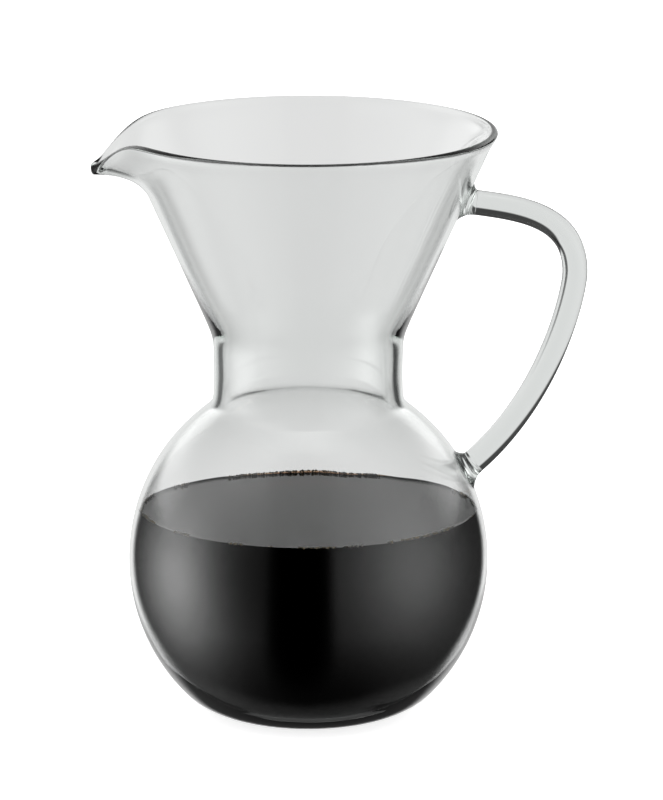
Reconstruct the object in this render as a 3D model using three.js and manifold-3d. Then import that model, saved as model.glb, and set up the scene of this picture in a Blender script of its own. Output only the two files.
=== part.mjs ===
// Glass pour-over coffee carafe with a rod handle, part filled with coffee.
// Millimetres, +Z up. The foot stands on z = 0 with its centre at the origin,
// the pouring spout points along -X and the handle along +X.

import * as THREE from 'three';
import { mergeVertices } from 'three/addons/utils/BufferGeometryUtils.js';
import Module from 'manifold-3d';

const wasm = await Module();
wasm.setup();

// Overall sizes
const totalHeight = 214.6;
const mouthRadius = 67.8;
const globeRadius = 65;
const globeHalfHeight = 67.4;
const globeCentreHeight = 56.6;

// Foot: a flat disc, and a curve that rises from it into the globe
const footRadius = 20;
const footBlendHeight = 8.7;

// Throat and cone
const throatRadius = 33.8;
const coneBottomHeight = 139;
const shoulderBlend = 5.9;
const coneBlend = 1.4;

// Glass thickness: an even wall that is thicker in the throat and in the foot
const wall = 2.3;
const throatExtraWall = 1.1;
const throatExtraReach = 24;
const footExtraWall = 0.9;
const footExtraReach = 12;

// Fire-polished lip
const lipFlare = 0.6;
const lipHeight = 3;

// Spout: the lip drawn outwards and down around the -X side
const spoutReach = 10;
const spoutDrop = 16.6;
const spoutDepth = 22.5;
const spoutPinch = 0.13;
const spoutHalfAngle = THREE.MathUtils.degToRad(15);
const spoutPinchAngle = THREE.MathUtils.degToRad(25);
const spoutSharpness = 1.4;

// Handle: a solid glass rod from the cone to the globe
const rodRadius = 4.7;
const handleTopDrop = 26.2;
const handleLowHeight = 89.8;
const handleReach = 95.5;
const handleBendDrop = 26;
const handleTopAngle = THREE.MathUtils.degToRad(7.8);
const handleTopPull = 18.3;
const handleBendPullUp = 22;
const handleBendPullDown = 6.3;
const handleLowAngle = THREE.MathUtils.degToRad(39.3);
const handleLowPull = 40;

// Welds: collars of glass that join the rod's ends to the wall
const weldLength = 4;
const weldFlare = 2;
const weldSink = 6;
const jointGap = 0.3;

// Coffee
const coffeeLevel = 76.3;
const coffeeGap = 0.3;

// Fineness
const turnSteps = 60;
const rodSides = 14;
const rodSteps = 32;
const lipSteps = 4;
const globeSteps = 10;

// Derived heights
const coneSlope = (mouthRadius - throatRadius) / (totalHeight - coneBottomHeight);
const coneAngle = Math.atan(coneSlope);
const rimHeight = totalHeight - wall / 2 * (1 + Math.sin(coneAngle));
const shoulderHeight = globeCentreHeight + globeHalfHeight * Math.sqrt(1 - (throatRadius / globeRadius) ** 2);
const throatMiddle = (shoulderHeight + coneBottomHeight) / 2;
const spoutBottom = totalHeight - spoutDepth;

// ---------------------------------------------------------------- outline

function bell(distance, reach) {
  return Math.exp(-((distance / reach) ** 2));
}

function softMax(a, b, blend) {
  return (a + b + Math.hypot(a - b, blend)) / 2;
}

// Outer radius at a height above the foot's curve: the globe is an ellipse that runs
// softly into a straight throat, and the throat into a straight cone with a flared lip.
function outerRadius(height) {
  const rise = (height - globeCentreHeight) / globeHalfHeight;
  const globe = globeRadius * Math.sqrt(Math.max(0, 1 - rise * rise));
  if (rise <= 0) {
    return globe;
  }
  const cone = throatRadius + coneSlope * (height - coneBottomHeight);
  const tube = softMax(throatRadius, cone, coneBlend);
  const lip = lipFlare * bell(rimHeight - height, lipHeight);
  return softMax(globe, tube, shoulderBlend * Math.min(rise, 1)) + lip;
}

function wallAt(height) {
  const throat = throatExtraWall * bell(height - throatMiddle, throatExtraReach);
  const foot = footExtraWall * bell(height, footExtraReach);
  return wall + throat + foot;
}

// The foot's curve is tangent to the flat disc and to the globe.
const footBlendRadius = outerRadius(footBlendHeight);
const footSlope = (globeRadius / globeHalfHeight) ** 2 * (globeCentreHeight - footBlendHeight) / footBlendRadius;
const footCurve = new THREE.QuadraticBezierCurve(
  new THREE.Vector2(footRadius, 0),
  new THREE.Vector2(footBlendRadius - footSlope * footBlendHeight, 0),
  new THREE.Vector2(footBlendRadius, footBlendHeight),
);

// The outer outline by station: 0 to 1 runs along the foot's curve, and past 1 a station
// is the height above that curve, in millimetres.
function outlineAt(station) {
  if (station < 1) {
    return footCurve.getPoint(Math.max(station, 0));
  }
  const height = footBlendHeight + station - 1;
  return new THREE.Vector2(outerRadius(height), height);
}

function stationAt(height) {
  return 1 + height - footBlendHeight;
}

// Stations from the foot to a height, closer together where the outline bends more.
function stationsUpTo(topHeight) {
  const globeLow = Math.asin((footBlendHeight - globeCentreHeight) / globeHalfHeight);
  const shoulderLow = shoulderHeight - 8;
  const globeHigh = Math.asin((shoulderLow - globeCentreHeight) / globeHalfHeight);
  const stations = [0, 0.33, 0.66];
  for (let step = 0; step <= globeSteps; step += 1) {
    const turn = THREE.MathUtils.lerp(globeLow, globeHigh, step / globeSteps);
    stations.push(stationAt(globeCentreHeight + globeHalfHeight * Math.sin(turn)));
  }
  const bends = [
    [shoulderLow, shoulderHeight + 6, 5],
    [shoulderHeight + 6, coneBottomHeight - 2, 1],
    [coneBottomHeight - 2, coneBottomHeight + 2, 2],
    [coneBottomHeight + 2, spoutBottom, 2],
    [spoutBottom, rimHeight - lipHeight, 4],
    [rimHeight - lipHeight, rimHeight, 2],
  ];
  for (const [low, high, count] of bends) {
    for (let step = 1; step <= count; step += 1) {
      stations.push(stationAt(THREE.MathUtils.lerp(low, high, step / count)));
    }
  }
  return stations.filter((station) => station <= stationAt(topHeight) + 1e-6);
}

// ---------------------------------------------------------------- skin

// A point of the outer skin, with the spout's pull. Angle 0 is +X.
function skinPoint(station, angle) {
  const outline = outlineAt(station);
  const fromSpout = Math.abs(Math.abs(angle) - Math.PI);
  const share = Math.max(0, (outline.y - spoutBottom) / spoutDepth) ** spoutSharpness;
  const pull = share * bell(fromSpout, spoutHalfAngle);
  const pinch = share * spoutPinch * bell(fromSpout, spoutPinchAngle);
  return new THREE.Vector3(
    outline.x * Math.cos(angle) - spoutReach * pull,
    outline.x * Math.sin(angle) * (1 - pinch),
    outline.y - spoutDrop * pull,
  );
}

// A point at a depth under the outer skin, and at a lift beyond it along the wall.
function glassPoint(station, angle, depth, lift = 0) {
  const step = 0.01;
  const point = skinPoint(station, angle);
  const along = skinPoint(station + step, angle).sub(skinPoint(Math.max(station - step, 0), angle)).normalize();
  const around = skinPoint(station, angle + step).sub(skinPoint(station, angle - step)).normalize();
  const outward = around.cross(along).normalize();
  return point.addScaledVector(outward, -depth).addScaledVector(along, lift);
}

// A turned solid from rows that each give a point for an angle, from the axis at the
// bottom round to the axis at the top.
function turnedSolid(rows) {
  const outline = rows.map((row) => {
    const point = row(0);
    return new THREE.Vector2(point.x, point.z);
  });
  const geometry = new THREE.LatheGeometry(outline, turnSteps);
  const position = geometry.attributes.position;
  for (let turn = 0; turn <= turnSteps; turn += 1) {
    const angle = (turn % turnSteps) * 2 * Math.PI / turnSteps;
    const wrapped = angle > Math.PI ? angle - 2 * Math.PI : angle;
    rows.forEach((row, index) => {
      const point = row(wrapped);
      position.setXYZ(turn * rows.length + index, point.x, point.y, point.z);
    });
  }
  return solidFrom(geometry);
}

function axisRow(height) {
  return () => new THREE.Vector3(0, 0, height);
}

// ---------------------------------------------------------------- solids

// A manifold solid from a closed three.js geometry.
function solidFrom(geometry) {
  const bare = geometry.clone();
  bare.deleteAttribute('normal');
  bare.deleteAttribute('uv');
  const merged = mergeVertices(bare, 1e-4);
  const corners = merged.index.array;
  const triVerts = [];
  for (let first = 0; first < corners.length; first += 3) {
    const [a, b, c] = corners.slice(first, first + 3);
    if (a !== b && b !== c && c !== a) {
      triVerts.push(a, b, c);
    }
  }
  const mesh = new wasm.Mesh({
    numProp: 3,
    vertProperties: new Float32Array(merged.attributes.position.array),
    triVerts: new Uint32Array(triVerts),
  });
  return new wasm.Manifold(mesh);
}

function geometryFrom(solid) {
  const mesh = solid.getMesh();
  const geometry = new THREE.BufferGeometry();
  geometry.setAttribute('position', new THREE.BufferAttribute(mesh.vertProperties, 3));
  geometry.setIndex(new THREE.BufferAttribute(mesh.triVerts, 1));
  geometry.computeVertexNormals();
  return geometry;
}

// ---------------------------------------------------------------- vessel

function makeVessel() {
  const stations = stationsUpTo(rimHeight);
  const depthAt = (station) => wallAt(outlineAt(station).y);
  const outer = stations.map((station) => (angle) => glassPoint(station, angle, 0));
  const inner = stations.map((station) => (angle) => glassPoint(station, angle, depthAt(station)));
  const rimStation = stationAt(rimHeight);
  const rimRound = depthAt(rimStation) / 2;
  const lip = [];
  for (let step = 1; step < lipSteps; step += 1) {
    const turn = step / lipSteps * Math.PI;
    const depth = rimRound * (1 - Math.cos(turn));
    const lift = rimRound * Math.sin(turn);
    lip.push((angle) => glassPoint(rimStation, angle, depth, lift));
  }
  return turnedSolid([axisRow(0), ...outer, ...lip, ...inner.reverse(), axisRow(depthAt(0))]);
}

// The space that the vessel's outer skin fills, grown by a gap all round.
function makeGrownVessel(gap) {
  const skin = stationsUpTo(rimHeight).map((station) => (angle) => glassPoint(station, angle, -gap));
  return turnedSolid([axisRow(-gap), ...skin, axisRow(rimHeight)]);
}

// ---------------------------------------------------------------- coffee

function makeCoffee() {
  const depthAt = (station) => wallAt(outlineAt(station).y) + coffeeGap;
  const stations = stationsUpTo(shoulderHeight);
  const skin = stations.map((station) => (angle) => glassPoint(station, angle, depthAt(station)));
  const fill = turnedSolid([axisRow(depthAt(0)), ...skin, axisRow(shoulderHeight)]);
  const levelCut = new THREE.CylinderGeometry(globeRadius * 2, globeRadius * 2, totalHeight, turnSteps);
  levelCut.rotateX(Math.PI / 2);
  levelCut.translate(0, 0, coffeeLevel + totalHeight / 2);
  return fill.subtract(solidFrom(levelCut));
}

// ---------------------------------------------------------------- handle and welds

function sidePoint(radius, height) {
  return new THREE.Vector3(radius, 0, height);
}

// The rod's centre line from the cone's wall to the globe's wall.
const topHeight = totalHeight - handleTopDrop;
const topAnchor = sidePoint(outerRadius(topHeight), topHeight);
const topOut = sidePoint(Math.cos(handleTopAngle), -Math.sin(handleTopAngle));
const lowAnchor = sidePoint(outerRadius(handleLowHeight), handleLowHeight);
const lowOut = sidePoint(Math.cos(handleLowAngle), Math.sin(handleLowAngle));
const bend = sidePoint(handleReach, topHeight - handleBendDrop);

const handleLine = new THREE.CurvePath();
handleLine.add(new THREE.CubicBezierCurve3(
  topAnchor,
  topAnchor.clone().addScaledVector(topOut, handleTopPull),
  sidePoint(bend.x, bend.z + handleBendPullUp),
  bend,
));
handleLine.add(new THREE.CubicBezierCurve3(
  bend,
  sidePoint(bend.x, bend.z - handleBendPullDown),
  lowAnchor.clone().addScaledVector(lowOut, handleLowPull),
  lowAnchor,
));

// A solid turned about the line that leaves an anchor in a direction, from radii and
// distances along that line.
function turnedOnLine(outline, anchor, direction) {
  const points = outline.map(([radius, distance]) => new THREE.Vector2(radius, distance));
  const geometry = new THREE.LatheGeometry(points, rodSides * 2);
  const turn = new THREE.Quaternion().setFromUnitVectors(new THREE.Vector3(0, 1, 0), direction);
  geometry.applyQuaternion(turn);
  geometry.translate(anchor.x, anchor.y, anchor.z);
  return solidFrom(geometry);
}

function makeWeld(anchor, direction, grownVessel) {
  const outline = [[0, -weldSink], [rodRadius + weldFlare, -weldSink], [rodRadius + weldFlare, 0]];
  for (let step = 1; step <= 4; step += 1) {
    const share = step / 4;
    outline.push([rodRadius + weldFlare * (1 - share) ** 2, weldLength * share]);
  }
  outline.push([0, weldLength]);
  return turnedOnLine(outline, anchor, direction).subtract(grownVessel);
}

function makeHandle() {
  const section = new THREE.Shape().absarc(0, 0, rodRadius, 0, 2 * Math.PI);
  const rod = new THREE.ExtrudeGeometry(new THREE.Shape(section.getPoints(rodSides / 2)), {
    steps: rodSteps,
    extrudePath: handleLine,
    bevelEnabled: false,
  });
  const endRadius = rodRadius * 3;
  const endCut = [[0, -weldSink], [endRadius, -weldSink], [endRadius, weldLength + jointGap], [0, weldLength + jointGap]];
  return solidFrom(rod)
    .subtract(turnedOnLine(endCut, topAnchor, topOut))
    .subtract(turnedOnLine(endCut, lowAnchor, lowOut));
}

// ---------------------------------------------------------------- assembly

function glassMaterial(tint) {
  return new THREE.MeshStandardMaterial({ color: tint, roughness: 0.03, metalness: 0, transparent: true, opacity: 0.35 });
}

const group = new THREE.Group();

function addPiece(name, solid, material) {
  const mesh = new THREE.Mesh(geometryFrom(solid), material);
  mesh.name = name;
  group.add(mesh);
}

const grownVessel = makeGrownVessel(jointGap);
addPiece('glass_vessel', makeVessel(), glassMaterial(0xe4ebe8));
addPiece('handle_rod', makeHandle(), glassMaterial(0xe8ecea));
addPiece('upper_weld', makeWeld(topAnchor, topOut, grownVessel), glassMaterial(0xdfe8e4));
addPiece('lower_weld', makeWeld(lowAnchor, lowOut, grownVessel), glassMaterial(0xdfe8e5));
addPiece('coffee', makeCoffee(), new THREE.MeshStandardMaterial({ color: 0x120806, roughness: 0.08, metalness: 0 }));

export default group;
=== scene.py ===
import math

import bmesh
import bpy
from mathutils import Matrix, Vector


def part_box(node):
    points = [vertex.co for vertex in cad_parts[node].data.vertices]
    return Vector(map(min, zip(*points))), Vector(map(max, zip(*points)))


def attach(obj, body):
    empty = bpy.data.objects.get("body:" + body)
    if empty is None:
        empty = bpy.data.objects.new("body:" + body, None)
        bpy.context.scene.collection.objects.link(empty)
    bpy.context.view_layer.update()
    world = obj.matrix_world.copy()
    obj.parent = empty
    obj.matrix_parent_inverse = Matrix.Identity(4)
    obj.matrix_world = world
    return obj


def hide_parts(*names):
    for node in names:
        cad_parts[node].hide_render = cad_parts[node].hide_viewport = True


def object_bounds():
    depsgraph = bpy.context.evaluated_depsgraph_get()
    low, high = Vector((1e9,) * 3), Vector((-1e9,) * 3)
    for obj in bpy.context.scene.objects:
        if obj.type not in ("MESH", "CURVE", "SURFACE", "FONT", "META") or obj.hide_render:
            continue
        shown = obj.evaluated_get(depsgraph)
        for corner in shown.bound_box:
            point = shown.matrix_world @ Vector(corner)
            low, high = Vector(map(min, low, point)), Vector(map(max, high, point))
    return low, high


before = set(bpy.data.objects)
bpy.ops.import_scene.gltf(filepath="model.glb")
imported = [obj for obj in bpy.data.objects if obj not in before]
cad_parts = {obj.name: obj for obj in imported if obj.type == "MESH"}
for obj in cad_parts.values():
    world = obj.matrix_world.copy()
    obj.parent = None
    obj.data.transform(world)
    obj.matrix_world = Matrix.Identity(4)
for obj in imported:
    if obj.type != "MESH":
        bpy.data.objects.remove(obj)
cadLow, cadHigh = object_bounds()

# Glass pour-over carafe with a rod handle, part filled with coffee.
# Sizes in the dictionaries are millimetres and degrees; the scene is in metres.
mm = 0.001
seamDistance = 0.0002 * mm


def addNode(tree, kind, inputs=None, **settings):
    node = tree.nodes.new(kind)
    for name, value in settings.items():
        setattr(node, name, value)
    for socket, value in (inputs or {}).items():
        if isinstance(value, bpy.types.NodeSocket):
            tree.links.new(value, node.inputs[socket])
        else:
            node.inputs[socket].default_value = value
    return node


def linear(hexColour):
    # sRGB hex to the linear values that shaders take
    parts = [int(hexColour[i:i + 2], 16) / 255 for i in (1, 3, 5)]
    return [c / 12.92 if c <= 0.04045 else ((c + 0.055) / 1.055) ** 2.4 for c in parts] + [1.0]


def newTree(name, sizes):
    # geometry tree with a named input for each size
    tree = bpy.data.node_groups.new(name, "GeometryNodeTree")
    tree.interface.new_socket("Geometry", in_out="INPUT", socket_type="NodeSocketGeometry")
    for label, value in sizes.items():
        kind = "NodeSocketInt" if isinstance(value, int) else "NodeSocketFloat"
        socket = tree.interface.new_socket(label, in_out="INPUT", socket_type=kind)
        socket.default_value = value
    tree.interface.new_socket("Material", in_out="INPUT", socket_type="NodeSocketMaterial")
    tree.interface.new_socket("Geometry", in_out="OUTPUT", socket_type="NodeSocketGeometry")
    return tree


def grow(name, startMesh, tree, sizes, material):
    # runs a tree on a start mesh with these sizes and keeps the result as a plain mesh
    seed = bpy.data.objects.new(name + "Seed", startMesh)
    bpy.context.scene.collection.objects.link(seed)
    modifier = seed.modifiers.new("grow", "NODES")
    modifier.node_group = tree
    for item in tree.interface.items_tree:
        if item.item_type == "SOCKET" and item.in_out == "INPUT" and item.name in sizes:
            modifier[item.identifier] = sizes[item.name]
        if item.item_type == "SOCKET" and item.in_out == "INPUT" and item.name == "Material":
            modifier[item.identifier] = material
    graph = bpy.context.evaluated_depsgraph_get()
    mesh = bpy.data.meshes.new_from_object(seed.evaluated_get(graph), preserve_all_data_layers=True,
        depsgraph=graph)
    bpy.data.objects.remove(seed)
    return settle(name, mesh, material)


def settle(name, mesh, material):
    # closes seams, points the faces outwards, shades smooth and gives the object its material
    work = bmesh.new()
    work.from_mesh(mesh)
    bmesh.ops.remove_doubles(work, verts=work.verts, dist=seamDistance)
    bmesh.ops.recalc_face_normals(work, faces=work.faces)
    for face in work.faces:
        face.smooth = True
    work.to_mesh(mesh)
    work.free()
    mesh.materials.clear()
    mesh.materials.append(material)
    mesh.name = name
    piece = bpy.data.objects.new(name, mesh)
    bpy.context.scene.collection.objects.link(piece)
    return piece


cameraSpec = {
    "elevation": 13.523, "distance": 2000, "lookOffset": (-2.69, 0, 7.98), "lens": 250, "sensor": 36,
    "farthest": 50,
}
lookAt = (cadLow + cadHigh) / 2 + Vector(cameraSpec["lookOffset"]) * mm
tilt = math.radians(cameraSpec["elevation"])
cameraData = bpy.data.cameras.new("camera")
cameraData.lens = cameraSpec["lens"]
cameraData.sensor_width = cameraSpec["sensor"]
cameraData.clip_end = cameraSpec["farthest"]
camera = bpy.data.objects.new("camera", cameraData)
camera.location = lookAt + Vector((0, -math.cos(tilt), math.sin(tilt))) * cameraSpec["distance"] * mm
camera.rotation_euler = (math.pi / 2 - tilt, 0, 0)
bpy.context.scene.collection.objects.link(camera)
bpy.context.scene.camera = camera

floorSpec = {"radius": 6000, "sides": 96, "paint": "#f4f4f4", "roughness": 0.9, "glow": 0.8, "drop": 0.2}
floorWork = bmesh.new()
bmesh.ops.create_circle(floorWork, cap_ends=True, segments=floorSpec["sides"],
    radius=floorSpec["radius"] * mm)
floorMesh = bpy.data.meshes.new("floor")
floorWork.to_mesh(floorMesh)
floorWork.free()
floor = bpy.data.objects.new("floor", floorMesh)
bpy.context.scene.collection.objects.link(floor)
# matt white paper that glows a little, so it stays pale
floorMaterial = bpy.data.materials.new("paleSweepPaper")
floorMaterial.use_nodes = True
floorTree = floorMaterial.node_tree
floorShader = floorTree.nodes["Principled BSDF"]
floorShader.inputs["Base Color"].default_value = linear(floorSpec["paint"])
floorShader.inputs["Roughness"].default_value = floorSpec["roughness"]
floorShader.inputs["Specular IOR Level"].default_value = 0.0
floorShader.inputs["Emission Color"].default_value = (1, 1, 1, 1)
floorShader.inputs["Emission Strength"].default_value = floorSpec["glow"]
floorMesh.materials.append(floorMaterial)
floor.location.z = -floorSpec["drop"] * mm
floor.visible_glossy = False
floor.visible_transmission = False

# The room. Each lobe is a soft source: its direction (x, y, z), its reach along x, y and z, and its
# strength. Each fade says along what it runs, from where to where, and the levels before and after.
roomSpec = {
    "frontLobes": [
        ((-0.97, 0.0, -0.12), (1.2, 0.45, 0.50), 2.15),
        ((0.90, -0.38, 0.05), (0.9, 0.55, 0.60), 0.9),
        ((-0.60, -0.15, 0.75), (0.45, 0.5, 0.40), 0.5),
        ((0.60, -0.15, 0.75), (0.45, 0.5, 0.40), 0.25),
        ((0.0, 0.0, 1.0), (0.33, 0.16, 0.5), 2.0),
    ],
    "backLobes": [
        ((-0.50, 0.60, 0.28), (0.36, 0.9, 0.24), 1.3),
        ((0.50, 0.60, 0.28), (0.36, 0.9, 0.24), 1.3),
    ],
    "frontGap": ((-0.08, -1.0, 0.0), (0.36, 0.9, 4.0)), "gapSteepness": 4.0, "panelGlow": 0.82,
    "fades": {
        "underneath": ("z", -1.0, -0.6, 0.15, 1.0, "LINEAR"),
        "zenith": ("z", 0.32, 0.50, 0.28, 0.12, "SMOOTHSTEP"),
        "panelWidth": ("sideways", 0.37, 0.55, 1.0, 0.02, "SMOOTHSTEP"),
        "panelHeight": ("z", -0.63, -0.45, 0.08, 1.0, "SMOOTHSTEP"),
        "panelToSky": ("z", 0.05, 0.2, 0.0, 1.0, "SMOOTHSTEP"),
        "behind": ("y", 0.1, 0.45, 0.0, 1.0, "SMOOTHSTEP"),
        "tent": ("z", 0.02, 0.12, 0.82, 0.06, "SMOOTHSTEP"),
    },
    "tentPoles": [22.5, 57, 157.5, 247.5, 292.5], "poleHeight": -0.1,
    "poleReach": (0.12, 0.12, 0.5), "poleDepth": 0.9, "poleSteepness": 3.0,
}


def addLobe(tree, direction, centre, reach, strength, steepness=1.0):
    away = addNode(tree, "ShaderNodeVectorMath", {0: direction, 1: centre}, operation="SUBTRACT")
    scaled = addNode(tree, "ShaderNodeVectorMath", {0: away.outputs[0], 1: reach}, operation="DIVIDE")
    squared = addNode(tree, "ShaderNodeVectorMath", {0: scaled.outputs[0], 1: scaled.outputs[0]},
        operation="DOT_PRODUCT")
    steep = addNode(tree, "ShaderNodeMath", {0: squared.outputs["Value"], 1: steepness}, operation="POWER")
    fall = addNode(tree, "ShaderNodeMath", {0: steep.outputs[0], 1: -1.0}, operation="MULTIPLY")
    bell = addNode(tree, "ShaderNodeMath", {0: fall.outputs[0]}, operation="EXPONENT")
    return addNode(tree, "ShaderNodeMath", {0: bell.outputs[0], 1: strength},
        operation="MULTIPLY").outputs[0]


world = bpy.data.worlds.new("softRoom")
bpy.context.scene.world = world
world.use_nodes = True
room = world.node_tree
room.nodes.clear()
direction = addNode(room, "ShaderNodeTexCoord").outputs["Generated"]
axes = addNode(room, "ShaderNodeSeparateXYZ", {0: direction}).outputs
sideways = addNode(room, "ShaderNodeMath", {0: axes["X"]}, operation="ABSOLUTE").outputs[0]
lines = {"sideways": sideways, "y": axes["Y"], "z": axes["Z"]}
fades = {}
for name, (line, start, end, before, after, kind) in roomSpec["fades"].items():
    fades[name] = addNode(room, "ShaderNodeMapRange", {"Value": lines[line], "From Min": start,
        "From Max": end, "To Min": before, "To Max": after}, interpolation_type=kind).outputs[0]
front = 0.0
for centre, reach, strength in roomSpec["frontLobes"]:
    lobe = addLobe(room, direction, centre, reach, strength)
    front = addNode(room, "ShaderNodeMath", {0: front, 1: lobe}, operation="ADD").outputs[0]
gap = addLobe(room, direction, *roomSpec["frontGap"], 1.0, roomSpec["gapSteepness"])
clear = addNode(room, "ShaderNodeMath", {0: 1.0, 1: gap}, operation="SUBTRACT").outputs[0]
front = addNode(room, "ShaderNodeMath", {0: front, 1: clear}, operation="MULTIPLY").outputs[0]
front = addNode(room, "ShaderNodeMath", {0: front, 1: fades["underneath"]},
    operation="MULTIPLY").outputs[0]
upper = fades["zenith"]
for centre, reach, strength in roomSpec["backLobes"]:
    lobe = addLobe(room, direction, centre, reach, strength)
    upper = addNode(room, "ShaderNodeMath", {0: upper, 1: lobe}, operation="ADD").outputs[0]
panel = addNode(room, "ShaderNodeMath", {0: fades["panelWidth"], 1: fades["panelHeight"]},
    operation="MULTIPLY").outputs[0]
lower = addNode(room, "ShaderNodeMath", {0: panel, 1: roomSpec["panelGlow"]},
    operation="MULTIPLY").outputs[0]
back = addNode(room, "ShaderNodeMix", {"Factor": fades["panelToSky"], "A": lower, "B": upper},
    data_type="FLOAT").outputs["Result"]
backPart = addNode(room, "ShaderNodeMath", {0: back, 1: fades["behind"]},
    operation="MULTIPLY").outputs[0]
around = addNode(room, "ShaderNodeMath", {0: front, 1: backPart}, operation="ADD").outputs[0]
# Seen straight through the glass, the room is a pale tent, dark above, with five dark poles.
tent = fades["tent"]
for turn in roomSpec["tentPoles"]:
    place = (math.cos(math.radians(turn)), math.sin(math.radians(turn)), roomSpec["poleHeight"])
    pole = addLobe(room, direction, place, roomSpec["poleReach"], roomSpec["poleDepth"],
        roomSpec["poleSteepness"])
    clear = addNode(room, "ShaderNodeMath", {0: 1.0, 1: pole}, operation="SUBTRACT").outputs[0]
    tent = addNode(room, "ShaderNodeMath", {0: tent, 1: clear}, operation="MULTIPLY").outputs[0]
# Once a ray has been reflected it sees the room, and before that the tent.
path = addNode(room, "ShaderNodeLightPath")
hasMirrored = addNode(room, "ShaderNodeMath", {0: path.outputs["Glossy Depth"], 1: 0.5},
    operation="GREATER_THAN").outputs[0]
around = addNode(room, "ShaderNodeMix", {"Factor": hasMirrored, "A": tent, "B": around},
    data_type="FLOAT").outputs["Result"]
# The backdrop and whatever lights the matt floor are plain white.
solidView = addNode(room, "ShaderNodeMath", {0: path.outputs["Is Camera Ray"],
    1: path.outputs["Is Diffuse Ray"]}, operation="ADD", use_clamp=True).outputs[0]
strength = addNode(room, "ShaderNodeMix", {"Factor": solidView, "A": around, "B": 1.0},
    data_type="FLOAT").outputs["Result"]
background = addNode(room, "ShaderNodeBackground", {"Color": (1, 1, 1, 1), "Strength": strength})
addNode(room, "ShaderNodeOutputWorld", {"Surface": background.outputs[0]})

softboxSpec = {"overhead": {"place": (0, 20, 1300), "size": (950, 420), "brightness": 2.2}}
for name, box in softboxSpec.items():
    lamp = bpy.data.lights.new(name, "AREA")
    lamp.shape = "RECTANGLE"
    lamp.size, lamp.size_y = box["size"][0] * mm, box["size"][1] * mm
    lamp.energy = box["brightness"] * math.pi * lamp.size * lamp.size_y
    holder = bpy.data.objects.new(name, lamp)
    holder.location = Vector(box["place"]) * mm
    holder.rotation_euler = (-holder.location).to_track_quat("-Z", "Y").to_euler()
    holder.visible_camera = False
    holder.visible_glossy = False
    holder.visible_transmission = False
    bpy.context.scene.collection.objects.link(holder)

scene = bpy.context.scene
scene.view_settings.view_transform = "Standard"
scene.cycles.max_bounces = 28
scene.cycles.transmission_bounces = 28
scene.cycles.glossy_bounces = 12
scene.cycles.volume_bounces = 0
print("camera, floor and light are up")


def newMaterial(name):
    material = bpy.data.materials.new(name)
    material.use_nodes = True
    tree = material.node_tree
    return material, tree, tree.nodes["Principled BSDF"], tree.nodes["Material Output"]


# Borosilicate glass, blown into a mould: clear, faintly green in thick places, with soft long
# ripples that bend what is seen through it, and a trace of haze that keeps it from looking unreal.
glassSpec = {
    "tint": "#ffffff", "ior": 1.49, "deepTint": "#93b7a5", "tintDepth": 60,
    "rippleLength": 26, "rippleFineness": 0.35, "vesselRipple": 0.035, "rodRipple": 0.05,
    "weldRipple": 0.12, "hazeLength": 9, "haze": 0.002, "hazeFrom": 0.45, "hazeTo": 0.8,
}


def makeGlass(name, ripple):
    material, tree, shader, output = newMaterial(name)
    place = addNode(tree, "ShaderNodeTexCoord").outputs["Object"]
    ripples = addNode(tree, "ShaderNodeTexNoise", {"Vector": place,
        "Scale": 1 / (glassSpec["rippleLength"] * mm), "Detail": 1.0,
        "Roughness": glassSpec["rippleFineness"]})
    bump = addNode(tree, "ShaderNodeBump", {"Height": ripples.outputs["Fac"], "Strength": 1.0,
        "Distance": ripple * mm})
    specks = addNode(tree, "ShaderNodeTexNoise", {"Vector": place,
        "Scale": 1 / (glassSpec["hazeLength"] * mm), "Detail": 3.0})
    haze = addNode(tree, "ShaderNodeMapRange", {"Value": specks.outputs["Fac"],
        "From Min": glassSpec["hazeFrom"], "From Max": glassSpec["hazeTo"], "To Max": glassSpec["haze"]})
    shader.inputs["Base Color"].default_value = linear(glassSpec["tint"])
    shader.inputs["IOR"].default_value = glassSpec["ior"]
    shader.inputs["Transmission Weight"].default_value = 1.0
    tree.links.new(haze.outputs[0], shader.inputs["Roughness"])
    tree.links.new(bump.outputs[0], shader.inputs["Normal"])
    soak = addNode(tree, "ShaderNodeVolumeAbsorption", {
        "Color": linear(glassSpec["deepTint"]), "Density": 1 / (glassSpec["tintDepth"] * mm)})
    tree.links.new(soak.outputs[0], output.inputs["Volume"])
    return material


vesselGlass = makeGlass("blownBorosilicateGlass", glassSpec["vesselRipple"])
rodGlass = makeGlass("drawnBorosilicateRod", glassSpec["rodRipple"])  # drawn hot, so its skin is wavier
weldGlass = makeGlass("flameWorkedGlass", glassSpec["weldRipple"])  # melted on in a flame: the waviest

# Brewed black coffee: a dark red-brown liquid, black where it is deep and amber where it is thin.
coffeeSpec = {
    "tint": "#f7e6cf", "deepTint": "#e7a03f", "density": 800, "ior": 1.333,
    "oilPatch": 11, "oilFrom": 0.45, "oilTo": 0.75, "oilRoughness": 0.04,
}
coffeeMaterial, coffeeTree, coffeeShader, coffeeOutput = newMaterial("brewedBlackCoffee")
coffeeShader.inputs["Base Color"].default_value = linear(coffeeSpec["tint"])
coffeeShader.inputs["Transmission Weight"].default_value = 1.0
coffeePlace = addNode(coffeeTree, "ShaderNodeTexCoord").outputs["Object"]
oilFilm = addNode(coffeeTree, "ShaderNodeTexNoise", {"Vector": coffeePlace,
    "Scale": 1 / (coffeeSpec["oilPatch"] * mm), "Detail": 2.0})
oilSheen = addNode(coffeeTree, "ShaderNodeMapRange", {"Value": oilFilm.outputs["Fac"],
    "From Min": coffeeSpec["oilFrom"], "From Max": coffeeSpec["oilTo"],
    "To Max": coffeeSpec["oilRoughness"]})
coffeeTree.links.new(oilSheen.outputs[0], coffeeShader.inputs["Roughness"])
coffeeShader.inputs["IOR"].default_value = coffeeSpec["ior"]
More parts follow.
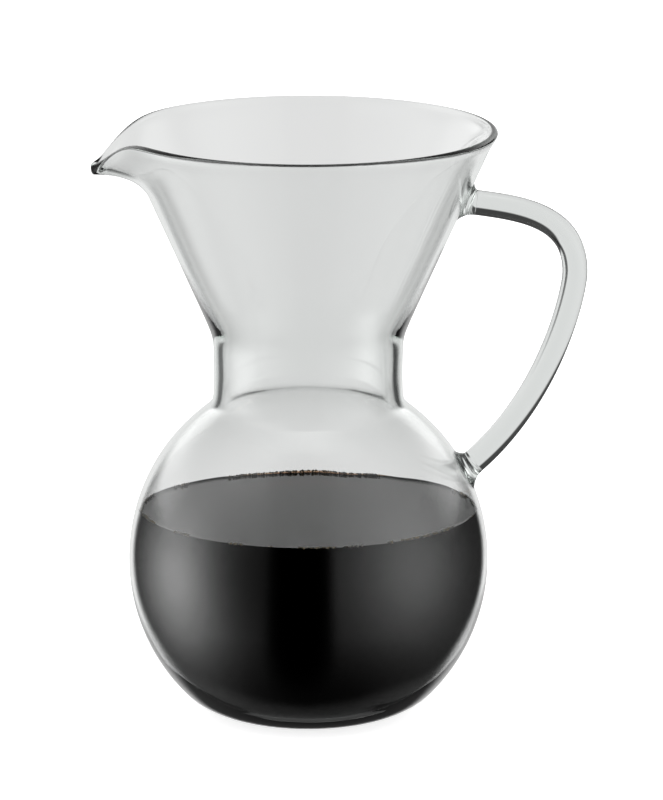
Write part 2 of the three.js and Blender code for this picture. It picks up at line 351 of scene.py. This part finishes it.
coffeeSoak = addNode(coffeeTree, "ShaderNodeVolumeAbsorption",
    {"Color": linear(coffeeSpec["deepTint"]), "Density": coffeeSpec["density"]})
coffeeTree.links.new(coffeeSoak.outputs[0], coffeeOutput.inputs["Volume"])

# Froth: thin pale amber skins with white patches that are painted glints; together they show as a broken
# pale line.
frothSpec = {
    "amber": "#e9d6b4", "white": "#ffffff", "amberEnd": 0.4, "paintedGlintStart": 0.6, "patch": 3,
    "roughness": 0.12, "clearness": 0.1, "ior": 1.2,
}
bubbleMaterial, bubbleTree, bubbleShader = newMaterial("coffeeFrothWithPaintedGlints")[:3]
bubblePlace = addNode(bubbleTree, "ShaderNodeTexCoord").outputs["Object"]
bubbleMix = addNode(bubbleTree, "ShaderNodeTexNoise", {"Vector": bubblePlace,
    "Scale": 1 / (frothSpec["patch"] * mm)})
# the ramp runs from the froth's own pale amber to white, and the white is a painted glint, not the froth's
# colour
frothToneAndPaintedGlint = addNode(bubbleTree, "ShaderNodeValToRGB", {"Fac": bubbleMix.outputs["Fac"]})
toneAndPaintedGlintStops = [(frothSpec["amberEnd"], frothSpec["amber"]), (frothSpec["paintedGlintStart"], frothSpec["white"])]
for stop, (position, colour) in zip(frothToneAndPaintedGlint.color_ramp.elements, toneAndPaintedGlintStops):
    stop.position, stop.color = position, linear(colour)
bubbleTree.links.new(frothToneAndPaintedGlint.outputs[0], bubbleShader.inputs["Base Color"])
bubbleShader.inputs["Roughness"].default_value = frothSpec["roughness"]
bubbleShader.inputs["Transmission Weight"].default_value = frothSpec["clearness"]
bubbleShader.inputs["IOR"].default_value = frothSpec["ior"]
print("materials are mixed")


vesselSpec = {
    "mouthRadius": 67.7, "globeRadius": 65, "globeHalfHeight": 67.4, "globeCentreHeight": 56.6,
    "footRadius": 20, "footBlendHeight": 8.7, "footKick": 0.9,
    "throatRadius": 33.8, "coneBottomHeight": 139, "shoulderBlend": 3.6, "coneBlend": 1.4,
    "wall": 2.3, "throatExtraWall": 1.1, "throatExtraReach": 24, "footExtraWall": 0.9, "footExtraReach": 12,
    "creaseExtraWall": 0.25, "creaseExtraReach": 7,
    "beadExtraWall": 0.5, "beadReach": 1.3, "bowlThinning": 1.0, "bowlHeight": 52, "bowlReach": 42,
    "lipFlare": 0.6, "lipHeight": 3, "rimClearance": 0.2, "lipSteps": 10, "turnSteps": 192,
}
spoutSpec = {
    "Spout Reach": 10 * mm, "Spout Drop": 16.6 * mm, "Spout Depth": 22.5 * mm, "Spout Pinch": 0.13,
    "Spout Half Angle": math.radians(15), "Spout Pinch Angle": math.radians(25), "Spout Sharpness": 1.4,
    "Spout Thickening": 0.9,
}
unevenSpec = {"Unevenness": 0.10, "Uneven Length": 24 * mm, "Seed": 7}

v = vesselSpec
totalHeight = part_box("glass_vessel")[1].z / mm
coneSlope = (v["mouthRadius"] - v["throatRadius"]) / (totalHeight - v["coneBottomHeight"])
rimHeight = totalHeight - v["rimClearance"] - v["wall"] / 2 * (1 + math.sin(math.atan(coneSlope)))
throatShare = v["throatRadius"] / v["globeRadius"]
shoulderHeight = v["globeCentreHeight"] + v["globeHalfHeight"] * math.sqrt(1 - throatShare ** 2)
throatMiddle = (shoulderHeight + v["coneBottomHeight"]) / 2


def bell(distance, reach):
    return math.exp(-((distance / reach) ** 2))


def softMax(a, b, blend):
    return (a + b + math.hypot(a - b, blend)) / 2


def outerRadius(height):
    # globe, throat and cone run softly into each other
    rise = (height - v["globeCentreHeight"]) / v["globeHalfHeight"]
    globe = v["globeRadius"] * math.sqrt(max(0, 1 - rise * rise))
    if rise <= 0:
        return globe
    cone = v["throatRadius"] + coneSlope * (height - v["coneBottomHeight"])
    tube = softMax(v["throatRadius"], cone, v["coneBlend"])
    lip = v["lipFlare"] * bell(rimHeight - height, v["lipHeight"])
    return softMax(globe, tube, v["shoulderBlend"] * min(rise, 1)) + lip


def wallAt(height):
    throat = v["throatExtraWall"] * bell(height - throatMiddle, v["throatExtraReach"])
    crease = v["creaseExtraWall"] * bell(height - v["coneBottomHeight"], v["creaseExtraReach"])
    bead = v["beadExtraWall"] * bell(rimHeight - height, v["beadReach"])
    bowl = -v["bowlThinning"] * bell(height - v["bowlHeight"], v["bowlReach"])
    foot = v["footExtraWall"] * bell(height, v["footExtraReach"])
    return v["wall"] + throat + crease + bead + bowl + foot


footBlendRadius = outerRadius(v["footBlendHeight"])
globeSquash = (v["globeRadius"] / v["globeHalfHeight"]) ** 2
footSlope = globeSquash * (v["globeCentreHeight"] - v["footBlendHeight"]) / footBlendRadius
footPull = footBlendRadius - footSlope * v["footBlendHeight"]


def outlinePoint(station):
    # -1 to 0 crosses the foot, 0 to 1 climbs the foot's curve, and past 1 it is the height above that
    if station <= 0:
        share = max(station + 1, 0)
        return v["footRadius"] * share, v["footKick"] * (1 - share * share) ** 2
    if station < 1:
        a, b, c = (1 - station) ** 2, 2 * station * (1 - station), station * station
        return a * v["footRadius"] + b * footPull + c * footBlendRadius, c * v["footBlendHeight"]
    height = v["footBlendHeight"] + station - 1
    return outerRadius(height), height


nudge = 0.002  # how far apart two points are taken for a direction


def outlineDirection(station):
    low, high = outlinePoint(max(station - nudge, -1)), outlinePoint(station + nudge)
    length = math.hypot(high[0] - low[0], high[1] - low[1])
    return (high[0] - low[0]) / length, (high[1] - low[1]) / length


def stationAt(height):
    return 1 + height - v["footBlendHeight"]


def spread(low, high, count):
    return [low + (high - low) * step / count for step in range(1, count + 1)]


def innerHeight(station):
    height = outlinePoint(station)[1]
    return height + outlineDirection(station)[0] * wallAt(height)


coffeeShape = {
    "meniscusRise": 0.8, "meniscusReach": 0.9, "gap": 0.06, "middle": 0.02,
    "insets": [0.15, 0.35, 0.6, 0.95, 1.4, 2.0, 2.8, 3.8, 5.2, 7.5, 12, 20, 32, 46],
}
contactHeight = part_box("coffee")[1].z / mm
coffeeLevel = contactHeight - coffeeShape["meniscusRise"]
low, high = stationAt(60), stationAt(90)
for step in range(40):
    middle = (low + high) / 2
    if innerHeight(middle) < contactHeight:
        low = middle
    else:
        high = middle
contactStation = (low + high) / 2

# rings of points run close together where the outline bends sharply
shoulderBand, creaseBand, lipBand, globeSteps = 8, 5, 22.5, 42
globeStations = []
globeStart = math.asin((v["footBlendHeight"] - v["globeCentreHeight"]) / v["globeHalfHeight"])
globeEnd = math.asin((shoulderHeight - shoulderBand - v["globeCentreHeight"]) / v["globeHalfHeight"])
for step in range(globeSteps + 1):
    turn = globeStart + (globeEnd - globeStart) * step / globeSteps
    globeStations.append(stationAt(v["globeCentreHeight"] + v["globeHalfHeight"] * math.sin(turn)))
# the first ring is so small that it is merged into one point
stations = [-1 + 0.001] + spread(-1, 0, 9) + spread(0, 1, 10)[:-1] + globeStations
bandEnds = [
    (shoulderHeight - shoulderBand, shoulderHeight + shoulderBand, 16),
    (shoulderHeight + shoulderBand, v["coneBottomHeight"] - creaseBand, 7),
    (v["coneBottomHeight"] - creaseBand, v["coneBottomHeight"] + creaseBand, 12),
    (v["coneBottomHeight"] + creaseBand, totalHeight - lipBand, 16),
    (totalHeight - lipBand, rimHeight, 22),
]
for bandLow, bandHigh, rings in bandEnds:
    stations += spread(stationAt(bandLow), stationAt(bandHigh), rings)
# the ring where the coffee meets the glass takes the place of its neighbours
stations = sorted([s for s in stations if abs(s - contactStation) > 0.4] + [contactStation])


def profileMesh(name, rows):
    # rows of (radius, height, along x, along z, depth, lift), all in millimetres
    mesh = bpy.data.meshes.new(name)
    points = [(row[0] * mm, 0, row[1] * mm) for row in rows]
    mesh.from_pydata(points, [(i, i + 1) for i in range(len(rows) - 1)], [])
    for label, kind in [("along", "FLOAT_VECTOR"), ("depth", "FLOAT"), ("lift", "FLOAT")]:
        mesh.attributes.new(label, kind, "POINT")
    for i, row in enumerate(rows):
        mesh.attributes["along"].data[i].vector = (row[2], 0, row[3])
        mesh.attributes["depth"].data[i].value = row[4] * mm
        mesh.attributes["lift"].data[i].value = row[5] * mm
    return mesh


def skinRow(station, depth, lift=0):
    return (*outlinePoint(station), *outlineDirection(station), depth, lift)


# A point of the skin at a radius, height and angle, with the spout drawn out of the lip.
skinTree = bpy.data.node_groups.new("skinPoint", "GeometryNodeTree")
spoutLabels = [label for label in spoutSpec if label != "Spout Thickening"]
for label in ["Radius", "Height", "Angle", *spoutLabels, "Spout Top"]:
    skinTree.interface.new_socket(label, in_out="INPUT", socket_type="NodeSocketFloat")
skinTree.interface.new_socket("Point", in_out="OUTPUT", socket_type="NodeSocketVector")
skinTree.interface.new_socket("Pull", in_out="OUTPUT", socket_type="NodeSocketFloat")
given = addNode(skinTree, "NodeGroupInput").outputs
turned = addNode(skinTree, "ShaderNodeMath", {0: given["Angle"], 1: math.pi}, operation="SUBTRACT")
fromSpout = addNode(skinTree, "ShaderNodeMath", {0: turned.outputs[0]}, operation="ABSOLUTE").outputs[0]
bottom = addNode(skinTree, "ShaderNodeMath", {0: given["Spout Top"], 1: given["Spout Depth"]},
    operation="SUBTRACT")
above = addNode(skinTree, "ShaderNodeMath", {0: given["Height"], 1: bottom.outputs[0]},
    operation="SUBTRACT")
portion = addNode(skinTree, "ShaderNodeMath", {0: above.outputs[0], 1: given["Spout Depth"]},
    operation="DIVIDE")
positive = addNode(skinTree, "ShaderNodeMath", {0: portion.outputs[0], 1: 0.0}, operation="MAXIMUM")
share = addNode(skinTree, "ShaderNodeMath", {0: positive.outputs[0], 1: given["Spout Sharpness"]},
    operation="POWER").outputs[0]
bells = []
for label in ["Spout Half Angle", "Spout Pinch Angle"]:
    ratio = addNode(skinTree, "ShaderNodeMath", {0: fromSpout, 1: given[label]},
        operation="DIVIDE").outputs[0]
    square = addNode(skinTree, "ShaderNodeMath", {0: ratio, 1: ratio}, operation="MULTIPLY").outputs[0]
    negative = addNode(skinTree, "ShaderNodeMath", {0: square, 1: -1.0}, operation="MULTIPLY").outputs[0]
    fall = addNode(skinTree, "ShaderNodeMath", {0: negative}, operation="EXPONENT").outputs[0]
    bells.append(addNode(skinTree, "ShaderNodeMath", {0: share, 1: fall}, operation="MULTIPLY").outputs[0])
pull, pinch = bells
pinched = addNode(skinTree, "ShaderNodeMath", {0: pinch, 1: given["Spout Pinch"]}, operation="MULTIPLY")
narrow = addNode(skinTree, "ShaderNodeMath", {0: 1.0, 1: pinched.outputs[0]}, operation="SUBTRACT")
cosine = addNode(skinTree, "ShaderNodeMath", {0: given["Angle"]}, operation="COSINE")
sine = addNode(skinTree, "ShaderNodeMath", {0: given["Angle"]}, operation="SINE")
roundX = addNode(skinTree, "ShaderNodeMath", {0: given["Radius"], 1: cosine.outputs[0]},
    operation="MULTIPLY")
roundY = addNode(skinTree, "ShaderNodeMath", {0: given["Radius"], 1: sine.outputs[0]}, operation="MULTIPLY")
reachOut = addNode(skinTree, "ShaderNodeMath", {0: pull, 1: given["Spout Reach"]}, operation="MULTIPLY")
dropDown = addNode(skinTree, "ShaderNodeMath", {0: pull, 1: given["Spout Drop"]}, operation="MULTIPLY")
skinX = addNode(skinTree, "ShaderNodeMath", {0: roundX.outputs[0], 1: reachOut.outputs[0]},
    operation="SUBTRACT")
skinY = addNode(skinTree, "ShaderNodeMath", {0: roundY.outputs[0], 1: narrow.outputs[0]},
    operation="MULTIPLY")
skinZ = addNode(skinTree, "ShaderNodeMath", {0: given["Height"], 1: dropDown.outputs[0]},
    operation="SUBTRACT")
skin = addNode(skinTree, "ShaderNodeCombineXYZ", {0: skinX.outputs[0], 1: skinY.outputs[0],
    2: skinZ.outputs[0]})
addNode(skinTree, "NodeGroupOutput", {"Point": skin.outputs[0], "Pull": pull})

# Turns a profile into a closed skin: each row is carried round, then moved inwards by its depth.
turnSizes = {"Turn Steps": v["turnSteps"], "Spout Top": totalHeight * mm, **spoutSpec, **unevenSpec}
probeStep, probeTurn, mergeDistance = 0.2 * mm, 0.002, 0.045 * mm
turnTree = newTree("turnedGlass", turnSizes)
given = addNode(turnTree, "NodeGroupInput").outputs
profile = given["Geometry"]
rowCount = addNode(turnTree, "GeometryNodeAttributeDomainSize", {0: profile},
    component="MESH").outputs["Point Count"]
columns = addNode(turnTree, "ShaderNodeMath", {0: given["Turn Steps"], 1: 1.0}, operation="ADD")
grid = addNode(turnTree, "GeometryNodeMeshGrid", {"Vertices X": columns.outputs[0], "Vertices Y": rowCount})
index = addNode(turnTree, "GeometryNodeInputIndex").outputs[0]
middled = addNode(turnTree, "ShaderNodeMath", {0: index, 1: 0.5}, operation="ADD")
divided = addNode(turnTree, "ShaderNodeMath", {0: middled.outputs[0], 1: rowCount}, operation="DIVIDE")
column = addNode(turnTree, "ShaderNodeMath", {0: divided.outputs[0]}, operation="FLOOR").outputs[0]
passed = addNode(turnTree, "ShaderNodeMath", {0: column, 1: rowCount}, operation="MULTIPLY")
row = addNode(turnTree, "ShaderNodeMath", {0: index, 1: passed.outputs[0]}, operation="SUBTRACT").outputs[0]
part = addNode(turnTree, "ShaderNodeMath", {0: column, 1: given["Turn Steps"]}, operation="DIVIDE")
angle = addNode(turnTree, "ShaderNodeMath", {0: part.outputs[0], 1: 2 * math.pi},
    operation="MULTIPLY").outputs[0]
kinds = {"position": "FLOAT_VECTOR", "along": "FLOAT_VECTOR", "depth": "FLOAT", "lift": "FLOAT"}
fields = {}
for label, kind in kinds.items():
    if label == "position":
        source = addNode(turnTree, "GeometryNodeInputPosition").outputs[0]
    else:
        source = addNode(turnTree, "GeometryNodeInputNamedAttribute", {"Name": label},
            data_type=kind).outputs["Attribute"]
    fields[label] = addNode(turnTree, "GeometryNodeSampleIndex",
        {"Geometry": profile, "Value": source, "Index": row}, data_type=kind, domain="POINT").outputs[0]
at = addNode(turnTree, "ShaderNodeSeparateXYZ", {0: fields["position"]}).outputs
ahead = addNode(turnTree, "ShaderNodeVectorMath", {0: fields["along"], "Scale": probeStep},
    operation="SCALE")
stepped = addNode(turnTree, "ShaderNodeVectorMath", {0: fields["position"], 1: ahead.outputs[0]},
    operation="ADD")
further = addNode(turnTree, "ShaderNodeSeparateXYZ", {0: stepped.outputs[0]}).outputs
angleMore = addNode(turnTree, "ShaderNodeMath", {0: angle, 1: probeTurn}, operation="ADD").outputs[0]
angleLess = addNode(turnTree, "ShaderNodeMath", {0: angle, 1: -probeTurn}, operation="ADD").outputs[0]
probePlaces = [
    (at[0], at[2], angle), (further[0], further[2], angle),
    (at[0], at[2], angleMore), (at[0], at[2], angleLess),
]
probes = []
for radius, height, turn in probePlaces:
    wires = {"Radius": radius, "Height": height, "Angle": turn, "Spout Top": given["Spout Top"]}
    wires.update({label: given[label] for label in spoutLabels})
    probe = turnTree.nodes.new("GeometryNodeGroup")
    probe.node_tree = skinTree
    for label, wire in wires.items():
        turnTree.links.new(wire, probe.inputs[label])
    probes.append(probe.outputs)
upward = addNode(turnTree, "ShaderNodeVectorMath", {0: probes[1]["Point"], 1: probes[0]["Point"]},
    operation="SUBTRACT")
upwardUnit = addNode(turnTree, "ShaderNodeVectorMath", {0: upward.outputs[0]},
    operation="NORMALIZE").outputs[0]
sideways = addNode(turnTree, "ShaderNodeVectorMath", {0: probes[2]["Point"], 1: probes[3]["Point"]},
    operation="SUBTRACT")
sidewaysUnit = addNode(turnTree, "ShaderNodeVectorMath", {0: sideways.outputs[0]},
    operation="NORMALIZE").outputs[0]
across = addNode(turnTree, "ShaderNodeVectorMath", {0: sidewaysUnit, 1: upwardUnit},
    operation="CROSS_PRODUCT")
outward = addNode(turnTree, "ShaderNodeVectorMath", {0: across.outputs[0]},
    operation="NORMALIZE").outputs[0]
fineness = addNode(turnTree, "ShaderNodeMath", {0: 1.0, 1: given["Uneven Length"]}, operation="DIVIDE")
waves = addNode(turnTree, "ShaderNodeTexNoise", {"Vector": probes[0]["Point"], "W": given["Seed"],
    "Scale": fineness.outputs[0], "Detail": 1.0}, noise_dimensions="4D")
centred = addNode(turnTree, "ShaderNodeMath", {0: waves.outputs["Fac"], 1: 0.5}, operation="SUBTRACT")
wavy = addNode(turnTree, "ShaderNodeMath", {0: centred.outputs[0], 1: given["Unevenness"]},
    operation="MULTIPLY")
cubed = addNode(turnTree, "ShaderNodeMath", {0: probes[0]["Pull"], 1: 3.0}, operation="POWER")
thicker = addNode(turnTree, "ShaderNodeMath", {0: cubed.outputs[0], 1: given["Spout Thickening"]},
    operation="MULTIPLY")
change = addNode(turnTree, "ShaderNodeMath", {0: wavy.outputs[0], 1: thicker.outputs[0]}, operation="ADD")
factor = addNode(turnTree, "ShaderNodeMath", {0: change.outputs[0], 1: 1.0}, operation="ADD")
depth = addNode(turnTree, "ShaderNodeMath", {0: fields["depth"], 1: factor.outputs[0]},
    operation="MULTIPLY").outputs[0]
inward = addNode(turnTree, "ShaderNodeVectorMath", {0: outward, "Scale": depth}, operation="SCALE")
sunk = addNode(turnTree, "ShaderNodeVectorMath", {0: probes[0]["Point"], 1: inward.outputs[0]},
    operation="SUBTRACT")
beyond = addNode(turnTree, "ShaderNodeVectorMath", {0: upwardUnit, "Scale": fields["lift"]},
    operation="SCALE")
finalPoint = addNode(turnTree, "ShaderNodeVectorMath", {0: sunk.outputs[0], 1: beyond.outputs[0]},
    operation="ADD")
placed = addNode(turnTree, "GeometryNodeSetPosition", {"Geometry": grid.outputs["Mesh"],
    "Position": finalPoint.outputs[0]})
closed = addNode(turnTree, "GeometryNodeMergeByDistance", {"Geometry": placed.outputs[0],
    "Distance": mergeDistance})
smooth = addNode(turnTree, "GeometryNodeSetShadeSmooth", {"Geometry": closed.outputs[0]})
real = addNode(turnTree, "GeometryNodeRealizeInstances", {"Geometry": smooth.outputs[0]})
dressed = addNode(turnTree, "GeometryNodeSetMaterial", {"Geometry": real.outputs[0],
    "Material": given["Material"]})
addNode(turnTree, "NodeGroupOutput", {"Geometry": dressed.outputs[0]})
print("turning tree is built")


rimStation = stations[-1]
rimWall = wallAt(rimHeight)
vesselRows = [skinRow(s, 0) for s in stations]
for step in range(1, v["lipSteps"]):
    turn = step / v["lipSteps"] * math.pi
    vesselRows.append(skinRow(rimStation, rimWall / 2 * (1 - math.cos(turn)),
        v["wall"] / 2 * math.sin(turn)))
vesselRows += [skinRow(s, wallAt(outlinePoint(s)[1])) for s in reversed(stations)]
vessel = grow("glassVessel", profileMesh("vesselProfile", vesselRows), turnTree, turnSizes, vesselGlass)
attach(vessel, "root")
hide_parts("glass_vessel")
print("vessel:", len(vessel.data.polygons), "faces")


# the coffee follows the inner wall up to its edge, then runs inwards along its surface
c = coffeeShape
coffeeRows = [skinRow(s, wallAt(outlinePoint(s)[1]) + c["gap"]) for s in stations if s <= contactStation]
radius, height = outlinePoint(contactStation)
contactRadius = radius - outlineDirection(contactStation)[1] * (wallAt(height) + c["gap"])
for inset in c["insets"]:
    edgeHeight = coffeeLevel + c["meniscusRise"] * math.exp(-inset / c["meniscusReach"])
    coffeeRows.append((contactRadius - inset, edgeHeight, -1, 0, 0, 0))
coffeeRows.append((c["middle"], coffeeLevel, -1, 0, 0, 0))
coffee = grow("coffeeBody", profileMesh("coffeeProfile", coffeeRows), turnTree,
    {**turnSizes, "Spout Thickening": 0.0}, coffeeMaterial)
coffee.data.set_sharp_from_angle(angle=math.radians(40))
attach(coffee, "root")
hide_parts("coffee")
print("coffee:", len(coffee.data.polygons), "faces")


# Bubbles lie in a ring where the coffee meets the glass, in patches and with gaps.
bubbleSpec = {"Bubble Count": 900, "Ring Radius": (contactRadius - 0.6) * mm,
    "Ring Height": (coffeeLevel + 0.75) * mm, "Scatter": 0.5 * mm, "Smallest": 0.2 * mm,
    "Largest": 0.45 * mm, "Clustering": 0.50, "Seed": 11}
patchLength, ringSteps, sizeSeed = 14 * mm, 128, 23
bubbleGrow = newTree("edgeBubbles", bubbleSpec)
given = addNode(bubbleGrow, "NodeGroupInput").outputs
ring = addNode(bubbleGrow, "GeometryNodeCurvePrimitiveCircle",
    {"Resolution": ringSteps, "Radius": given["Ring Radius"]})
dots = addNode(bubbleGrow, "GeometryNodeCurveToPoints", {"Curve": ring.outputs[0],
    "Count": given["Bubble Count"]})
minus = addNode(bubbleGrow, "ShaderNodeMath", {0: given["Scatter"], 1: -1.0},
    operation="MULTIPLY").outputs[0]
lowCorner = addNode(bubbleGrow, "ShaderNodeCombineXYZ", {0: minus, 1: minus, 2: 0.0})
highCorner = addNode(bubbleGrow, "ShaderNodeCombineXYZ", {0: given["Scatter"], 1: given["Scatter"], 2: 0.0})
jitter = addNode(bubbleGrow, "FunctionNodeRandomValue", {0: lowCorner.outputs[0], 1: highCorner.outputs[0],
    "Seed": given["Seed"]}, data_type="FLOAT_VECTOR")
liftUp = addNode(bubbleGrow, "ShaderNodeCombineXYZ", {2: given["Ring Height"]})
shift = addNode(bubbleGrow, "ShaderNodeVectorMath", {0: jitter.outputs[0], 1: liftUp.outputs[0]},
    operation="ADD")
scattered = addNode(bubbleGrow, "GeometryNodeSetPosition", {"Geometry": dots.outputs[0],
    "Offset": shift.outputs[0]})
where = addNode(bubbleGrow, "GeometryNodeInputPosition").outputs[0]
patches = addNode(bubbleGrow, "ShaderNodeTexNoise", {"Vector": where, "W": given["Seed"],
    "Scale": 1 / patchLength, "Detail": 2.0}, noise_dimensions="4D")
kept = addNode(bubbleGrow, "FunctionNodeCompare", {0: patches.outputs["Fac"], 1: given["Clustering"]},
    operation="GREATER_THAN")
ball = addNode(bubbleGrow, "GeometryNodeMeshIcoSphere", {"Radius": 1.0, "Subdivisions": 2})
sizes = addNode(bubbleGrow, "FunctionNodeRandomValue", {2: given["Smallest"], 3: given["Largest"],
    "Seed": sizeSeed}, data_type="FLOAT")
spheres = addNode(bubbleGrow, "GeometryNodeInstanceOnPoints",
    {"Points": scattered.outputs[0], "Selection": kept.outputs[0], "Instance": ball.outputs["Mesh"],
    "Scale": sizes.outputs[1]})
real = addNode(bubbleGrow, "GeometryNodeRealizeInstances", {"Geometry": spheres.outputs[0]})
dressed = addNode(bubbleGrow, "GeometryNodeSetMaterial", {"Geometry": real.outputs[0],
    "Material": given["Material"]})
addNode(bubbleGrow, "NodeGroupOutput", {"Geometry": dressed.outputs[0]})
bubbles = grow("edgeBubbles", bpy.data.meshes.new("bubbleStart"), bubbleGrow, bubbleSpec, bubbleMaterial)
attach(bubbles, "root")
print("bubbles:", len(bubbles.data.polygons), "faces")


# The handle's centre line: two arcs that meet at the bend, each with a pull at both ends.
handleSpec = {
    "rodRadius": 4.60, "topDrop": 26.2, "lowHeight": 89.8, "reach": 95.5, "bendDrop": 26,
    "topAngle": 7.8, "topPull": 18.3, "bendPullUp": 22, "bendPullDown": 6.3,
    "lowAngle": 39.3, "lowPull": 40, "weldLength": 4.0, "seam": 0.03,
}
h = handleSpec
topHeight = totalHeight - h["topDrop"]
topAnchor = Vector((outerRadius(topHeight), 0, topHeight))
lowAnchor = Vector((outerRadius(h["lowHeight"]), 0, h["lowHeight"]))
topOut = Vector((math.cos(math.radians(h["topAngle"])), 0, -math.sin(math.radians(h["topAngle"]))))
lowOut = Vector((math.cos(math.radians(h["lowAngle"])), 0, math.sin(math.radians(h["lowAngle"]))))
bend = Vector((h["reach"], 0, topHeight - h["bendDrop"]))
arcs = [
    (topAnchor, topAnchor + topOut * h["topPull"], bend + Vector((0, 0, h["bendPullUp"])), bend),
    (bend, bend - Vector((0, 0, h["bendPullDown"])), lowAnchor + lowOut * h["lowPull"], lowAnchor),
]


def arcPoint(arc, t):
    start, pullOut, pullIn, end = arc
    early = start * (1 - t) ** 3 + pullOut * 3 * t * (1 - t) ** 2
    return early + pullIn * 3 * t * t * (1 - t) + end * t ** 3


arcSteps, rodSteps = 200, 120
centreLine = [arcPoint(arcs[0], i / arcSteps) for i in range(arcSteps)]
centreLine += [arcPoint(arcs[1], i / arcSteps) for i in range(arcSteps + 1)]
travel = [0.0]
for a, b in zip(centreLine, centreLine[1:]):
    travel.append(travel[-1] + (b - a).length)


def lineAt(distance):
    # point and direction at a distance along the handle's centre line
    for i in range(len(travel) - 1):
        if distance <= travel[i + 1] or i == len(travel) - 2:
            step = centreLine[i + 1] - centreLine[i]
            return centreLine[i] + step * ((distance - travel[i]) / step.length), step.normalized()


rodStart, rodEnd = h["weldLength"] + h["seam"], travel[-1] - h["weldLength"] - h["seam"]
rodLine = bpy.data.meshes.new("rodLine")
rodPoints = [lineAt(rodStart + (rodEnd - rodStart) * i / rodSteps)[0] * mm for i in range(rodSteps + 1)]
rodLine.from_pydata(rodPoints, [(i, i + 1) for i in range(rodSteps)], [])
rodSizes = {"Rod Radius": h["rodRadius"] * mm, "Rod Sides": 48, "Path Points": 130, "Waviness": 0.022,
    "Wave Length": 21 * mm, "Seed": 5}
rodTree = newTree("bentRod", rodSizes)
given = addNode(rodTree, "NodeGroupInput").outputs
line = addNode(rodTree, "GeometryNodeMeshToCurve", {0: given["Geometry"]})
even = addNode(rodTree, "GeometryNodeResampleCurve", {"Curve": line.outputs[0],
    "Count": given["Path Points"]})
section = addNode(rodTree, "GeometryNodeCurvePrimitiveCircle",
    {"Resolution": given["Rod Sides"], "Radius": given["Rod Radius"]})
where = addNode(rodTree, "GeometryNodeInputPosition").outputs[0]
fineness = addNode(rodTree, "ShaderNodeMath", {0: 1.0, 1: given["Wave Length"]}, operation="DIVIDE")
waves = addNode(rodTree, "ShaderNodeTexNoise", {"Vector": where, "W": given["Seed"],
    "Scale": fineness.outputs[0], "Detail": 0.0}, noise_dimensions="4D")
thinning = addNode(rodTree, "ShaderNodeMath", {0: waves.outputs["Fac"], 1: given["Waviness"]},
    operation="MULTIPLY")
girth = addNode(rodTree, "ShaderNodeMath", {0: 1.0, 1: thinning.outputs[0]}, operation="SUBTRACT")
swept = addNode(rodTree, "GeometryNodeCurveToMesh", {"Curve": even.outputs[0],
    "Profile Curve": section.outputs[0], "Scale": girth.outputs[0], "Fill Caps": True})
real = addNode(rodTree, "GeometryNodeRealizeInstances", {"Geometry": swept.outputs[0]})
dressed = addNode(rodTree, "GeometryNodeSetMaterial", {"Geometry": real.outputs[0],
    "Material": given["Material"]})
addNode(rodTree, "NodeGroupOutput", {"Geometry": dressed.outputs[0]})
rod = grow("handleRod", rodLine, rodTree, rodSizes, rodGlass)
rod.data.set_sharp_from_angle(angle=math.radians(50))
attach(rod, "root")
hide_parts("handle_rod")
print("handle rod:", len(rod.data.polygons), "faces")


weldSpec = {
    "flare": 2.9, "flareCurve": 2.2, "sides": 64, "sideRows": 14, "capRings": 6, "seam": 0.03,
    "search": 12.0, "endShare": 0.6,
}


def reachWall(point, toWall):
    # how far a point travels towards the axis before it meets the vessel's skin
    near, far = -weldSpec["search"], weldSpec["search"]
    for step in range(36):
        middle = (near + far) / 2
        spot = point + toWall * middle
        if math.hypot(spot.x, spot.y) > outerRadius(spot.z) + weldSpec["seam"]:
            near = middle
        else:
            far = middle
    return (near + far) / 2


def makeWeld(name, node, fromTop):
    # a collar from the vessel's skin to the rod's end, wide at the skin
    w = weldSpec
    work = bmesh.new()
    end, away = lineAt(h["weldLength"] if fromTop else travel[-1] - h["weldLength"])
    away = away if fromTop else -away
    upAxis = Vector((0, 1, 0)).cross(away).normalized()
    sideAxis = Vector((0, 1, 0))
    radials = []
    for k in range(w["sides"]):
        angle = 2 * math.pi * k / w["sides"]
        radials.append(upAxis * math.cos(angle) + sideAxis * math.sin(angle))
    wide = h["rodRadius"] + w["flare"]
    rows = []
    for share in [i / w["sideRows"] for i in range(w["sideRows"] + 1)]:
        ring = []
        for radial in radials:
            foot = reachWall(end + radial * wide, -away)
            size = h["rodRadius"] + w["flare"] * (1 - share) ** w["flareCurve"]
            ring.append(work.verts.new((end + radial * size - away * foot * (1 - share)) * mm))
        rows.append(ring)
    capRows = []
    for q in [i / w["capRings"] for i in range(w["capRings"] - 1, 0, -1)]:
        ring = []
        for radial in radials:
            spot = end + radial * wide * q
            ring.append(work.verts.new((spot - away * reachWall(spot, -away)) * mm))
        capRows.append(ring)
    endRing = []
    for radial in radials:
        endRing.append(work.verts.new((end + radial * h["rodRadius"] * w["endShare"]) * mm))
    chain = list(reversed(capRows)) + rows + [endRing]
    for first, second in zip(chain, chain[1:]):
        for k in range(w["sides"]):
            n = (k + 1) % w["sides"]
            work.faces.new((first[k], first[n], second[n], second[k]))
    for ring, hub in [(chain[0], end - away * reachWall(end, -away)), (chain[-1], end)]:
        centre = work.verts.new(hub * mm)
        for k in range(w["sides"]):
            work.faces.new((ring[k], ring[(k + 1) % w["sides"]], centre))
    mesh = bpy.data.meshes.new(name)
    work.to_mesh(mesh)
    work.free()
    weld = settle(name, mesh, weldGlass)
    weld.data.set_sharp_from_angle(angle=math.radians(50))
    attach(weld, "root")
    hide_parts(node)
    return weld


upperWeld = makeWeld("upperWeld", "upper_weld", True)
lowerWeld = makeWeld("lowerWeld", "lower_weld", False)
print("welds:", len(upperWeld.data.polygons) + len(lowerWeld.data.polygons), "faces")

bpy.context.view_layer.update()
